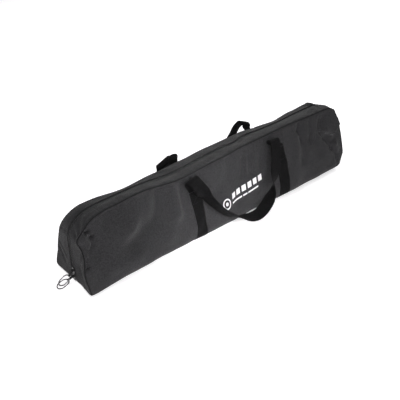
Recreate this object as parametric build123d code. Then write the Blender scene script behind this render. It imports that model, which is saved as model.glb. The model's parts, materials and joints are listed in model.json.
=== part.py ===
"""Soft carry case: a long zipped bag with padded sides, webbing straps and two carry handles.

Millimetres. +X runs along the case, -Y is its front, +Z is up.
The origin is on the underside, midway along the length and the width.
"""

import os
from math import cos, hypot, pi, radians, sin

from build123d import *

# ---- driving dimensions -------------------------------------------------------------------
length = 1000.0         # outside of one end to outside of the other
height = 212.0          # underside to top
base_width = 190.0      # front face to back face, at the underside
top_width = 96.0        # front face to back face, at the top
top_corner_radius = 70.0
base_corner_radius = 5.0

cloth = 1.2             # coated polyester outer cloth
base_ply = 3.0          # doubled cloth of the underside
foam = 6.0              # closed-cell foam in the sides and base
lining = 1.0            # lining cloth
seam_inset = 1.0        # how far the side panels' edges stop inside the gusset
padding_inset = 6.0     # how far the padding stops inside the gusset
base_end_gap = 10.0     # from an end to the base padding

zipper_slot = 14.0      # width of tape that shows between the gusset's folded edges
tape_hidden = 6.0       # width of tape under each folded edge
tape = 0.8
coil_width = 2.8
coil_height = 2.2
coil_foot = 6.0         # height at which an end's coil starts
chain_gap = 1.2         # parting line between the two halves of the zipper

webbing_width = 40.0
webbing = 1.8
strap_left_x = -122.0
strap_right_x = 225.0
stitch_drop = 47.0      # from the top down to the end of a strap's stitching, free above it
front_fold_drop = 18.0  # from the top down to where the front handle folds over
back_fold_rise = 14.0   # from the top up to where the back handle folds over
front_stand_off = 10.0  # from a side face to the fold, level with it
back_stand_off = 12.0

handle_tilt = 19.4      # a hanging handle's angle from the vertical, in degrees
fold_radius = 4.0       # a leg hangs two of these out from its hinge
handle_clearance = 1.5  # from the ground to the front handle's lowest edge
left_twist = (0.03, 0.24)       # where along a handle the webbing turns edge-on, and back
right_twist = (0.68, 0.86)
# A hanging handle's shape, as shares of the way between the straps and of its drop.
handle_shape = [
    (0.04, 0.25), (0.19, 0.54), (0.35, 0.78), (0.50, 0.95),
    (0.63, 1.0), (0.76, 0.95), (0.84, 0.78), (0.88, 0.53), (0.94, 0.26),
]

slider_length = 18.0
slider_width = 11.0
slider_plate = 2.2
slider_inner_plate = 1.8
slider_gap = 0.3            # plate to tape, and inner plate to coil
slider_neck = 0.6
lower_slider_z = 16.0
slider_pitch = 19.0         # lower slider to upper slider
ear_inside = 2.0
ear = 1.6
pin_radius = 1.0
pin_reach = 5.2             # outer plate to pin
pin_rise = 1.0              # pin above the slider's middle

pull_length = 14.0          # pin to ring hole
pull_thickness = 3.4
pull_eye_radius = 2.6
pull_ring_end_radius = 3.2
pin_clearance = 0.08
ring_clearance = 0.45
lower_pull_drop = 16.0      # angle below level, in degrees
upper_pull_drop = 50.0

ring_wire_radius = 1.3
ring_width = 28.0
ring_straight = 10.0
lower_ring_drop = 15.7
upper_ring_drop = 25.0

stop_height = 1.4

fit = 0.3                   # clearance of cloth parts that move past each other
channel_clearance = 0.3

# ---- worked-out values --------------------------------------------------------------------
half_length = length / 2
lean = (base_width - top_width) / 2 / height        # how far a side leans in per unit of height
slope = hypot(1.0, lean)
stitched_z = height - stitch_drop
fold_z = {-1: height - front_fold_drop, 1: height + back_fold_rise}
stand_off = {-1: front_stand_off, 1: back_stand_off}
flap_end = half_length - top_corner_radius - 5.0    # the top flaps run between +-flap_end
side_build = cloth + foam + lining                  # outer cloth to the lining's inner face
strap_centres = {"left": strap_left_x, "right": strap_right_x}
beyond = 20.0                                       # how far a cutting solid runs past the case
level_width = 2 * base_width                        # wide enough to span the case in Y


def side_y(z, outside=0.0):
    """Distance from the middle plane to a side face at height z, moved out square to the face."""
    return base_width / 2 - lean * z + outside * slope


def outline_prism(inset):
    """The case's side view, a rounded rectangle drawn inwards by inset, run right across in Y."""
    left, right = -half_length + inset, half_length - inset
    low, high = inset, height - inset
    top_r, low_r = top_corner_radius - inset, max(base_corner_radius - inset, 1.0)
    lines = [
        Line((left + low_r, low), (right - low_r, low)),
        RadiusArc((right - low_r, low), (right, low + low_r), -low_r),
        Line((right, low + low_r), (right, high - top_r)),
        RadiusArc((right, high - top_r), (right - top_r, high), -top_r),
        Line((right - top_r, high), (left + top_r, high)),
        RadiusArc((left + top_r, high), (left, high - top_r), -top_r),
        Line((left, high - top_r), (left, low + low_r)),
        RadiusArc((left, low + low_r), (left + low_r, low), -low_r),
    ]
    face = Plane.XZ * make_face(lines)
    return extrude(face, level_width / 2, both=True)


def end_view_prism(inset):
    """The case's end view, a trapezium whose sloping sides are drawn inwards by inset, along X."""
    low, high = -beyond, height + beyond
    corners = [
        (-side_y(low, -inset), low),
        (side_y(low, -inset), low),
        (side_y(high, -inset), high),
        (-side_y(high, -inset), high),
    ]
    face = Plane.YZ * make_face(Polyline(*corners, close=True))
    return extrude(face, half_length + beyond, both=True)


def block(x0, x1, y0, y1, z0, z1):
    """A box between the given limits."""
    return Pos((x0 + x1) / 2, (y0 + y1) / 2, (z0 + z1) / 2) * Box(x1 - x0, y1 - y0, z1 - z0)


def side_slab(side, outer, inner):
    """The layer between depths outer and inner under the front (-1) or back (1) face."""
    layer = end_view_prism(outer) - end_view_prism(inner)
    reach = base_width
    half = block(
        -half_length - beyond, half_length + beyond,
        min(0, side * reach), max(0, side * reach), -beyond, height + beyond,
    )
    return layer & half


def write(name, *solids):
    """Writes a node's solids to one STEP file."""
    made = solids[0] if len(solids) == 1 else Compound(children=list(solids))
    made.label = name
    export_step(made, f"parts/{name}.step")


# ---- outer cloth --------------------------------------------------------------------------
def strap_channels():
    """What the straps take out of the underside and the side panels' lower edges."""
    reach = side_y(0, webbing) + beyond
    half = webbing_width / 2 + channel_clearance
    depth = webbing + channel_clearance
    return [block(x - half, x + half, -reach, reach, -beyond, depth) for x in strap_centres.values()]


def side_panel(side):
    """Front or back panel, one piece of cloth cut to the side view."""
    made = side_slab(side, 0.0, cloth) & outline_prism(seam_inset)
    for channel in strap_channels():
        made -= channel
    return made


def bottom_panel():
    """Doubled cloth of the underside, with the straps let into it."""
    made = outline_prism(0.0) & end_view_prism(cloth)
    made &= block(-half_length, half_length, -base_width, base_width, 0.0, base_ply)
    for channel in strap_channels():
        made -= channel
    return made


def gusset(depth, thickness, y0, y1):
    """A strip of the band round the ends and top, at a depth below its outer face."""
    band = outline_prism(depth) - outline_prism(depth + thickness)
    return band & block(-half_length, half_length, y0, y1, -beyond, height + beyond)


def ends_of(strip, foot=base_ply):
    """The strip's left and right ends, from its foot's height round the top corners."""
    clear = flap_end + fit / 2
    cut_left = block(-half_length - beyond, -clear, -base_width, base_width, foot, height + beyond)
    cut_right = block(clear, half_length + beyond, -base_width, base_width, foot, height + beyond)
    return {"left": strip & cut_left, "right": strip & cut_right}


def top_of(strip):
    """The strip's top stretch, between the top corners."""
    clear = flap_end - fit / 2
    return strip & block(-clear, clear, -base_width, base_width, height / 2, height + beyond)


hinge_z = height - cloth / 2
hinge_y = side_y(hinge_z, -cloth) - fit - cloth / 2


def side_limits(side, near, far):
    """A strip's limits in Y, from near to far of the middle plane, on the front or back."""
    return (near, far) if side > 0 else (-far, -near)


def gusset_half(side):
    """Half of the band's cloth, out to the side panel, which trims it."""
    near = zipper_slot / 2
    strip = gusset(0.0, cloth, *side_limits(side, near, base_width))
    return strip & end_view_prism(cloth)


def flap(side):
    """Top half of the band: a strip hinged along its seam by a bead of its own thickness."""
    near = zipper_slot / 2
    strip = top_of(gusset(0.0, cloth, *side_limits(side, near, hinge_y)))
    bead = Pos(0, side * hinge_y, hinge_z) * Rot(0, 90, 0) * Cylinder(cloth / 2, 2 * flap_end - fit)
    return strip + bead


# ---- zipper -------------------------------------------------------------------------------
def tape_half(side):
    near, far = chain_gap / 2, zipper_slot / 2 + tape_hidden
    return gusset(cloth, tape, *side_limits(side, near, far))


def coil_half(side):
    near, far = chain_gap / 2, chain_gap / 2 + coil_width
    return gusset(cloth + tape, coil_height, *side_limits(side, near, far))


def bottom_stop(end):
    """Crimped stop at the foot of an end's zipper, on the outside of the tape."""
    outer = half_length - cloth - tape
    reach = end * outer
    x0, x1 = sorted((reach, reach + end * (tape + slider_plate)))
    made = block(x0, x1, -slider_width / 2, slider_width / 2, base_ply, base_ply + stop_height)
    hidden = block(-half_length + cloth, half_length - cloth, -beyond, beyond, 0, height)
    for side in (-1, 1):
        made -= tape_half(side)
    return made - (hidden & block(-outer, outer, -beyond, beyond, 0, height))


outer_plate_face = -(half_length - cloth) - slider_gap      # the outer plate's face on the tape
inner_plate_face = -(half_length - cloth - tape - coil_height) + slider_gap
plate_outside = outer_plate_face - slider_plate
pin_x = plate_outside - pin_reach


def slider(z):
    """Slider body: a plate each side of the tape, a neck between, and ears with a pull pin."""
    mid_outer = outer_plate_face - slider_plate / 2
    outer = Pos(mid_outer, 0, z) * Box(slider_plate, slider_width, slider_length)
    outer = fillet(outer.edges().filter_by(Axis.X), slider_width / 3)
    mid_inner = inner_plate_face + slider_inner_plate / 2
    inner = Pos(mid_inner, 0, z) * Box(slider_inner_plate, slider_width - 1.0, slider_length)
    inner = fillet(inner.edges().filter_by(Axis.X), slider_width / 3)
    neck = block(
        mid_outer, mid_inner, -slider_neck / 2, slider_neck / 2,
        z - slider_length / 3, z + slider_length / 3,
    )
    pin_z = z + pin_rise
    eared = outer + inner + neck
    ear_tip = pin_radius + 1.0
    for side in (-1, 1):
        y0, y1 = side_limits(side, ear_inside, ear_inside + ear)
        post = block(pin_x, plate_outside + 0.5, y0, y1, pin_z - ear_tip, pin_z + ear_tip)
        tip = Pos(pin_x, (y0 + y1) / 2, pin_z) * Rot(90, 0, 0) * Cylinder(ear_tip, ear)
        eared += post + tip
    pin = Pos(pin_x, 0, pin_z) * Rot(90, 0, 0) * Cylinder(pin_radius, 2 * (ear_inside + ear))
    return eared + pin


def outward(x, z, distance, drop):
    """The point at a distance from (x, z), out from the left end and drop degrees below level."""
    return x - distance * cos(radians(drop)), z - distance * sin(radians(drop))


def pull(z, drop):
    """Short link: an eye round the slider's pin, and a hole for the ring."""
    pin_z = z + pin_rise
    hole_x, hole_z = outward(pin_x, pin_z, pull_length, drop)
    mid_x, mid_z = outward(pin_x, pin_z, pull_length / 2, drop)
    turn = Rot(0, drop, 0)
    body = Pos(mid_x, 0, mid_z) * Rot(0, -drop, 0) * Box(pull_length, pull_thickness, 2 * pull_eye_radius)
    upright = Rot(90, 0, 0)
    body += Pos(pin_x, 0, pin_z) * upright * Cylinder(pull_eye_radius, pull_thickness)
    body += Pos(hole_x, 0, hole_z) * upright * Cylinder(pull_ring_end_radius, pull_thickness)
    body -= Pos(pin_x, 0, pin_z) * upright * Cylinder(pin_radius + pin_clearance, pull_thickness + 1)
    hole = Cylinder(ring_wire_radius + ring_clearance, pull_thickness + 1)
    return body - Pos(hole_x, 0, hole_z) * upright * hole


def ring(z, pull_drop, ring_drop):
    """Wire ring with straight sides, threaded through the pull's hole."""
    hole_x, hole_z = outward(pin_x, z + pin_rise, pull_length, pull_drop)
    bend = ring_width / 2 - ring_wire_radius
    near, far = -bend, -bend - ring_straight
    track = Wire([
        Edge.make_three_point_arc((near, -bend, 0), (0, 0, 0), (near, bend, 0)),
        Edge.make_line((near, bend, 0), (far, bend, 0)),
        Edge.make_three_point_arc((far, bend, 0), (far - bend, 0, 0), (far, -bend, 0)),
        Edge.make_line((far, -bend, 0), (near, -bend, 0)),
    ])
    section = Plane(origin=(near, bend, 0), x_dir=(0, 1, 0), z_dir=(-1, 0, 0)) * Circle(ring_wire_radius)
    flat = sweep(section, path=track)
    return Pos(hole_x, 0, hole_z) * Rot(0, -ring_drop, 0) * flat


# ---- padding ------------------------------------------------------------------------------
def side_foam(side):
    return side_slab(side, cloth, cloth + foam) & outline_prism(padding_inset)


def side_lining(side):
    return side_slab(side, cloth + foam, side_build) & outline_prism(padding_inset)


def base_pad(low, thickness):
    """A layer of the base's padding, between the side linings."""
    reach = half_length - base_end_gap
    room = end_view_prism(side_build + fit)
    return room & block(-reach, reach, -base_width, base_width, low, low + thickness)


# ---- webbing ------------------------------------------------------------------------------
def fold_line(side):
    """Y and Z of the line that a handle folds over on."""
    return side * (side_y(min(fold_z[side], height)) + stand_off[side]), fold_z[side]


def side_strap(side, x):
    """Webbing sewn up a side panel, then free up to the handle's fold."""
    fold = fold_line(side)
    below = (side * side_y(-webbing, webbing / 2), -webbing)
    sewn = (side * side_y(stitched_z, webbing / 2), stitched_z)
    short = (webbing / 2 + fit) / hypot(fold[0] - sewn[0], fold[1] - sewn[1])
    top = tuple(at + (start - at) * short for at, start in zip(fold, sewn))
    band = trace(Polyline(below, sewn, top), webbing)
    made = Pos(x, 0, 0) * extrude(Plane.YZ * band, webbing_width / 2, both=True)
    made &= block(
        x - webbing_width, x + webbing_width, -base_width, base_width, webbing, height + base_width,
    )
    return made - side_slab(side, 0.0, cloth)


def under_strap(x):
    """Webbing across the underside, flush with it, joining the front and back straps."""
    reach = side_y(webbing, webbing)
    return block(x - webbing_width / 2, x + webbing_width / 2, -reach, reach, 0.0, webbing)


handle_sections = 36
fold_sections = 5


def ramp(value, start, end):
    """0 up to start, 1 from end on, and an even S between."""
    t = min(max((value - start) / (end - start), 0.0), 1.0)
    return t * t * (3 - 2 * t)


def ribbon(sections):
    """Solid through a row of four-cornered sections, with a ruled face between like edges."""
    faces = [Face(Wire.make_polygon(corners, close=True)) for corners in (sections[0], sections[-1])]
    for here, ahead in zip(sections, sections[1:]):
        for k in range(4):
            start = Edge.make_line(here[k - 1], here[k])
            end = Edge.make_line(ahead[k - 1], ahead[k])
            faces.append(Face.make_surface_from_curves(start, end))
    return Solid(Shell(faces))


def handle(side):
    """Webbing loop, hinged at its folds. Its legs start flat and its middle turns edge-on."""
    hinge_at = Vector(0, *fold_line(side))
    tilt = radians(handle_tilt)
    down = Vector(0, side * sin(tilt), -cos(tilt))
    out = Vector(0, side * cos(tilt), sin(tilt))
    along = Vector(1, 0, 0)

    def place(u, v, w):
        return hinge_at + along * u + down * v + out * w

    def fold(x, k):
        turn = pi / 2 * k / fold_sections
        centre = place(x, fold_radius * (1 - cos(turn)), fold_radius * (1 + sin(turn)))
        return centre, out * cos(turn) + down * sin(turn)

    stations = [(place(strap_left_x, 0, 0), out, along)]    # centre, direction, width direction
    for k in range(fold_sections):
        stations.append((*fold(strap_left_x, k), along))
    lowest_edge = (webbing_width / 2 - 2 * fold_radius) * sin(tilt)
    drop = (fold_z[-1] - lowest_edge - handle_clearance) / cos(tilt)
    span = strap_right_x - strap_left_x
    middle = [(strap_left_x + across * span, deep * drop) for across, deep in handle_shape]
    ends = (strap_left_x, fold_radius), (strap_right_x, fold_radius)
    run = Spline(ends[0], *middle, ends[1], tangents=[(0, 1), (0, -1)])
    for k in range(handle_sections + 1):
        share = k / handle_sections
        u, v = (run @ share).X, (run @ share).Y
        du, dv = (run % share).X, (run % share).Y
        turn = (ramp(share, *left_twist) - ramp(share, *right_twist)) * pi / 2
        across = (along * dv - down * du) * cos(turn) + out * sin(turn)
        stations.append((place(u, v, 2 * fold_radius), along * du + down * dv, across))
    for k in reversed(range(fold_sections)):
        centre, direction = fold(strap_right_x, k)
        stations.append((centre, direction * -1, along * -1))
    stations.append((place(strap_right_x, 0, 0), out * -1, along * -1))

    sections = []
    for centre, direction, across in stations:
        across = across.normalized() * (webbing_width / 2)
        through = direction.cross(across).normalized() * (webbing / 2)
        sections.append([centre + across + through, centre - across + through,
                         centre - across - through, centre + across - through])
    return ribbon(sections)


# ---- the nodes ----------------------------------------------------------------------------
def build():
    os.makedirs("parts", exist_ok=True)
    for side, name in ((-1, "front"), (1, "back")):
        write(f"{name}_panel", side_panel(side))
        write(f"{name}_foam", side_foam(side))
        write(f"{name}_lining", side_lining(side))
        write(f"top_flap_{name}", flap(side))
        write(f"top_tape_{name}", top_of(tape_half(side)))
        write(f"top_coil_{name}", top_of(coil_half(side)))
        for end, strip in ends_of(gusset_half(side)).items():
            write(f"{end}_end_{name}", strip)
        for end, strip in ends_of(tape_half(side)).items():
            write(f"{end}_tape_{name}", strip)
        for end, strip in ends_of(coil_half(side), coil_foot).items():
            write(f"{end}_coil_{name}", strip)
        for end, x in strap_centres.items():
            write(f"{end}_strap_{name}", side_strap(side, x))
        write(f"{name}_handle", handle(side))
    write("bottom_panel", bottom_panel())
    write("base_foam", base_pad(base_ply, foam))
    write("base_lining", base_pad(base_ply + foam, lining))
    for end, x in strap_centres.items():
        write(f"{end}_strap_under", under_strap(x))
    write("left_zipper_stop", bottom_stop(-1))
    write("right_zipper_stop", bottom_stop(1))
    upper_slider_z = lower_slider_z + slider_pitch
    write("lower_slider", slider(lower_slider_z))
    write("upper_slider", slider(upper_slider_z))
    write("lower_pull", pull(lower_slider_z, lower_pull_drop))
    write("upper_pull", pull(upper_slider_z, upper_pull_drop))
    write("lower_ring", ring(lower_slider_z, lower_pull_drop, lower_ring_drop))
    write("upper_ring", ring(upper_slider_z, upper_pull_drop, upper_ring_drop))


build()
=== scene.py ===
import json

import bpy
import numpy as np
from mathutils import Matrix, Vector


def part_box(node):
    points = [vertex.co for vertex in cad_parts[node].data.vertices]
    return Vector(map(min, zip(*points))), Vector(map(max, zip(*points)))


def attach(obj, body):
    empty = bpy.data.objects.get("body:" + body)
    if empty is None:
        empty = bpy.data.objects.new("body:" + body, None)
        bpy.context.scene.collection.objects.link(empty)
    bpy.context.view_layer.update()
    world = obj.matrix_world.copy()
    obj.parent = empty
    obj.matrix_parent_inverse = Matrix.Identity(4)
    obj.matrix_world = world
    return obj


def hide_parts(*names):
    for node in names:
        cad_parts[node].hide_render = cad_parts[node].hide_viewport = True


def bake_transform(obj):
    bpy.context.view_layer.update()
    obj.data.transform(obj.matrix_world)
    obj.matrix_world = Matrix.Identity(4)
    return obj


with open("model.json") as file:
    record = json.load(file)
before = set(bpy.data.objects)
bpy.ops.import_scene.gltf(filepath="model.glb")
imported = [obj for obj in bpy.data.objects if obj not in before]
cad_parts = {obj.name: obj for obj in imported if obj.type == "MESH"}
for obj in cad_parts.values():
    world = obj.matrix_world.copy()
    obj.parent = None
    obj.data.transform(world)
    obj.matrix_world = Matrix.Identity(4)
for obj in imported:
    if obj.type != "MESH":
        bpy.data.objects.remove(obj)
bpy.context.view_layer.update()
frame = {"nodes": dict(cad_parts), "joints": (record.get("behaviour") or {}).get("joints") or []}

# ---- camera and light ---------------------------------------------------------------------
# A long lens looks down on the front and the left end. Broad soft lights stand over the case,
# at its front left and at its back right, and a narrow weak one fills the front's middle.
camera_aim = Vector((-0.0277, 0.0218, 0.0494))
camera_azimuth, camera_elevation, camera_roll = np.radians((-40.07, 30.25, -2.44))
camera_distance = 2.1505
lens_mm = 63.0


def make_camera():
    """Sets the camera at its distance from the aim, along its azimuth and elevation, and rolls it
    about its own line of sight."""
    back = Vector((
        np.sin(camera_azimuth) * np.cos(camera_elevation),
        -np.cos(camera_azimuth) * np.cos(camera_elevation),
        np.sin(camera_elevation),
    ))
    level = Vector((np.cos(camera_azimuth), np.sin(camera_azimuth), 0))
    turn = Matrix((level, back.cross(level), back)).transposed()
    turn = turn @ Matrix.Rotation(camera_roll, 3, "Z")
    data = bpy.data.cameras.new("camera")
    data.lens = lens_mm
    data.clip_end = 60
    camera = bpy.data.objects.new("camera", data)
    camera.matrix_world = Matrix.Translation(camera_aim + back * camera_distance) @ turn.to_4x4()
    bpy.context.collection.objects.link(camera)
    bpy.context.scene.camera = camera


def area_light(name, place, size, power, target=camera_aim, spread=180):
    """A rectangle of soft light, turned to face its target. spread is its beam in degrees."""
    data = bpy.data.lights.new(name, "AREA")
    data.shape = "RECTANGLE"
    data.size, data.size_y = size
    data.energy = power
    data.spread = np.radians(spread)
    light = bpy.data.objects.new(name, data)
    aim = Vector(target) - Vector(place)
    light.rotation_euler = aim.to_track_quat("-Z", "Y").to_euler()
    light.location = place
    bpy.context.collection.objects.link(light)


make_camera()
area_light("overhead_light", (-0.6, -0.1, 2.3), (1.2, 1.0), 23)
area_light("front_light", (-1.0, -1.5, 1.1), (0.5, 0.4), 18.5)
area_light("middle_light", (-0.10, -1.6, 0.9), (0.3, 0.3), 0.52, (-0.05, -0.1, 0.08), 21)
area_light("back_light", (1.7, 1.8, 1.5), (1.4, 1.0), 38)
world = bpy.data.worlds.new("studio")
world.use_nodes = True
surround = world.node_tree.nodes["Background"]
surround.inputs["Color"].default_value = (1, 1, 1, 1)
surround.inputs["Strength"].default_value = 0.19
bpy.context.scene.world = world
bpy.context.scene.view_settings.view_transform = "Standard"


# ---- side panels --------------------------------------------------------------------------
# Front and back of the case: one piece of coated polyester each, cut to a long outline with
# round upper corners and sewn inside out to the gusset, so that each seam lies in a groove.
# The cloth is soft, so it slumps between its seams and carries the folds of its packing.
half_length = -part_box("left_end_front")[0][0]
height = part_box("top_flap_front")[1][2]
cloth = 0.0012          # the gusset's cloth, beyond the edge of the bottom panel
base_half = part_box("bottom_panel")[1][1] + cloth
top_half = 0.048        # from the middle to either face at the top
corner_radius = 0.070
lean = (base_half - top_half) / height
face_cos, face_sin = np.cos(np.arctan(lean)), np.sin(np.arctan(lean))
groove = 0.0022         # depth of a seam below both faces
groove_reach = 0.0045   # width over which the cloth turns down into it
foot_side = 0.030       # round at the foot of the side walls, less towards the left end
foot_end, foot_corner = 0.005, 0.012    # round at the foot of the ends: middle, and corners
foot_rows = 12          # rows of the mesh over the round at the foot
fold_gain = 1.5         # the folds of a wall stand out this many times their listed height
wall_sheet = 0.0009     # thickness of the walls' cloth
straight_rise = height - corner_radius
corner_run = corner_radius * np.pi / 2
band_length = 2 * (straight_rise + corner_run + half_length - corner_radius)


def ease(value, start, end):
    """0 up to start, 1 from end on, and an even S between."""
    t = np.clip((value - start) / (end - start), 0, 1)
    return t * t * (3 - 2 * t)


def through(value, knots):
    """A smooth line through (place, height) knots, level at each of them."""
    place, level = np.array(knots).T
    k = np.clip(np.searchsorted(place, value) - 1, 0, len(place) - 2)
    share = ease((value - place[k]) / (place[k + 1] - place[k]), 0, 1)
    return level[k] + (level[k + 1] - level[k]) * share


def bump(value, middle, width):
    """A bell of height 1 about middle."""
    return np.exp(-(((value - middle) / width) ** 2))


def strokes(a, b, folds):
    """Sum of folds: each (a0, b0, a1, b1, width, height) is a bell round its line from end to end."""
    total = np.zeros(np.broadcast(a, b).shape)
    for a0, b0, a1, b1, width, rise in folds:
        along = ((a - a0) * (a1 - a0) + (b - b0) * (b1 - b0)) / ((a1 - a0) ** 2 + (b1 - b0) ** 2)
        along = np.clip(along, 0, 1)
        away = np.hypot(a - a0 - along * (a1 - a0), b - b0 - along * (b1 - b0))
        total += rise * np.exp(-((away / width) ** 2))
    return total


def facets(a, b, panes):
    """Sum of folded panes: each (corners in order, edge width, height) stands out along its lowest
    edge and runs flush into the cloth along its top, so that it catches the light from above."""
    total = np.zeros(np.broadcast(a, b).shape)
    for corners, width, rise in panes:
        inside = np.inf
        for (a0, b0), (a1, b1) in zip(corners, corners[1:] + corners[:1]):
            length = np.hypot(a1 - a0, b1 - b0)
            inside = np.minimum(inside, ((a1 - a0) * (b - b0) - (b1 - b0) * (a - a0)) / length)
        top, low = max(corner[1] for corner in corners), min(corner[1] for corner in corners)
        total += rise * ease(inside, -width / 2, width / 2) * np.clip((top - b) / (top - low), 0, 1)
    return total


def ripples(a, b, seed, shortest=0.035, longest=0.15, rise=0.0011, count=26):
    """Sum of waves in even-handed directions, with wavelengths from shortest to longest."""
    draw = np.random.default_rng(seed)
    total = np.zeros(np.broadcast(a, b).shape)
    for _ in range(count):
        heading, phase = draw.uniform(0, np.pi), draw.uniform(0, 2 * np.pi)
        wave = shortest * (longest / shortest) ** draw.uniform()
        travel = a * np.cos(heading) + b * np.sin(heading)
        total += np.sin(2 * np.pi * travel / wave + phase) * (wave / longest)
    return total * rise / np.sqrt(count) * 2


# How far the top edges sink or rise along the case, for the front and the back seam.
front_slump = [
    (-0.50, -0.012), (-0.45, -0.011), (-0.40, -0.004), (-0.29, 0.001), (-0.16, -0.012),
    (0.0, -0.003), (0.10, 0.005), (0.29, 0.010), (0.40, 0.007), (0.50, 0.004),
]
back_slump = [
    (-0.50, -0.020), (-0.40, -0.019), (-0.30, -0.028), (-0.19, -0.021), (-0.09, -0.016),
    (0.02, -0.009), (0.17, -0.005), (0.23, -0.011), (0.31, -0.016), (0.38, -0.007), (0.50, 0.004),
]
# How far the zipper sways across the top, how far the walls belly out, and how far the foot of
# the walls wanders.
zipper_sway = [
    (-0.50, 0.0), (-0.42, -0.004), (-0.30, 0.002), (-0.14, -0.006), (0.05, 0.001),
    (0.09, -0.007), (0.14, 0.006), (0.22, 0.003), (0.42, 0.010), (0.50, 0.004),
]
belly = [
    (-0.50, 0.015), (-0.38, 0.011), (-0.14, 0.017), (0.06, 0.007), (0.23, 0.016), (0.34, 0.009),
    (0.50, 0.005),
]
base_wave = [
    (-0.50, 0.0), (-0.36, 0.002), (-0.20, -0.003), (-0.02, 0.002), (0.15, -0.003), (0.32, 0.001),
    (0.50, -0.001),
]
# How far the right end stands out, up its height.
right_bulge = [
    (0.0, -0.003), (0.02, 0.010), (0.06, 0.029), (0.10, 0.029), (0.15, 0.027), (0.18, 0.031),
    (0.205, 0.047), (0.215, 0.048),
]


def round_under(rise):
    """How far in a quarter round of radius 1 stands at a height above its foot: 1 at the foot, and 0
    from its radius up."""
    return 1 - np.sqrt(1 - np.clip(1 - rise, 0, 1) ** 2)


def drape(points):
    """Moves points of the crisp pattern shape to where the soft case holds them: the top slumps and
    sways, the walls belly out low down and roll under at the foot, and the right end bulges. The left
    end's middle, where the sliders run, stays as cut above its foot."""
    x, y, z = np.moveaxis(np.asarray(points, float), -1, 0)
    rise = ease(z, 0.03, height)
    back = ease(y, -top_half, top_half)
    share = y / (base_half - lean * z)
    # The top sinks, more at the back, which leans inwards as it does. The zipper sways.
    sink = through(x, back_slump) * back
    dz = rise * (through(x, front_slump) * (1 - back) + 0.6 * sink)
    dy = 0.55 * rise * sink * ease(y, 0, top_half)
    dy += rise ** 3 * through(x, zipper_sway) * (1 - np.clip(np.abs(y) / top_half, 0, 1))
    # The walls belly out, and roll under at the foot.
    dy += share * through(x, belly) * np.sin(np.pi * np.clip(z / height, 0, 1) ** 0.7)
    side_round = foot_side * (1 - 0.6 * ease(-x, 0.36, 0.50))
    dy -= share * side_round * round_under(z / side_round)
    dy += share * through(x, base_wave) * (1 - z / height)
    # The right end bulges, and the left end's back half is pushed in.
    dx = through(z, right_bulge) * ease(x, 0.30, 0.49) * (1 - 0.4 * rise ** 2 * ease(y, -0.01, 0.045))
    dx += 0.010 * ease(-x, 0.36, 0.50) * ease(y, 0.020, 0.075) * ease(z, 0.0, 0.06)
    # The left end's front corner juts out, low down and again near its top, where the wall beside
    # it is drawn in.
    corner = ease(-x, 0.42, 0.50)
    dy += 0.013 * bump(z, 0.150, 0.035) * corner * ease(-y, 0.02, 0.06)
    jut = 0.010 * (1 - ease(z, 0.02, 0.12)) + 0.016 * bump(z, 0.08, 0.045)
    dx -= jut * corner * ease(-y, 0.025, 0.085)
    dx -= 0.011 * bump(z, 0.166, 0.019) * corner * ease(-y, 0.025, 0.055)
    # The ends roll under at the foot, most at their corners.
    end_round = foot_end + (foot_corner - foot_end) * ease(np.abs(y), 0.02, 0.085)
    dx -= np.sign(x) * end_round * round_under(z / end_round) * ease(np.abs(x), 0.44, 0.50)
    return np.stack([x + dx, y + dy, z + dz], -1)


def inset_edge(t, inset):
    """Half-length and height of the side outline at run t up its end, drawn inwards by inset."""
    turn = np.clip((t - straight_rise) / corner_radius, 0, np.pi / 2)
    half = half_length - corner_radius + (corner_radius - inset) * np.cos(turn)
    return half, np.minimum(t, straight_rise) + (corner_radius - inset) * np.sin(turn)


def edge_distance(x, z):
    """Distance in from the side outline: from its round corner where over both of its sides, and from
    the nearer of end and top elsewhere."""
    over_x = np.abs(x) - (half_length - corner_radius)
    over_z = z - (height - corner_radius)
    square = np.minimum(half_length - np.abs(x), height - z)
    rounded = corner_radius - np.hypot(np.maximum(over_x, 0), np.maximum(over_z, 0))
    return np.where((over_x > 0) & (over_z > 0), rounded, square)


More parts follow.
